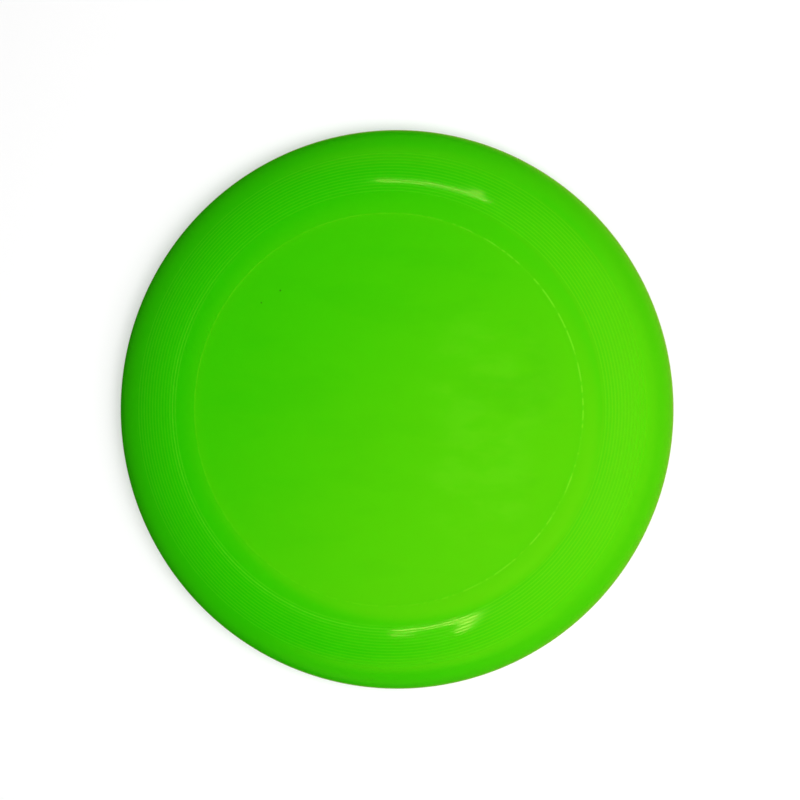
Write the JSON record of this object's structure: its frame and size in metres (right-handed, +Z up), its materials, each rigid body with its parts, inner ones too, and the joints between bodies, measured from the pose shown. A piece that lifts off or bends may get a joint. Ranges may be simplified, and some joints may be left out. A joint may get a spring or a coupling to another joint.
{
  "type": "flying disc",
  "caption": "Round one-piece plastic throwing disc with a flat flight plate, a domed shoulder with fine flight rings, and a thick rim hooked inwards as a finger hold.",
  "frame": {"origin": "on the spin axis, in the plane of the rim's foot, so the disc stands right way up on Z = 0", "axes": "+Z up along the spin axis through the flight plate; the disc is round, so X and Y are free"},
  "size_m": [0.274, 0.274, 0.032],
  "materials": {
    "moulded_green": "gloss"
  },
  "bodies": {
    "root": {"disc": "moulded_green"}
  },
  "joints": []
}
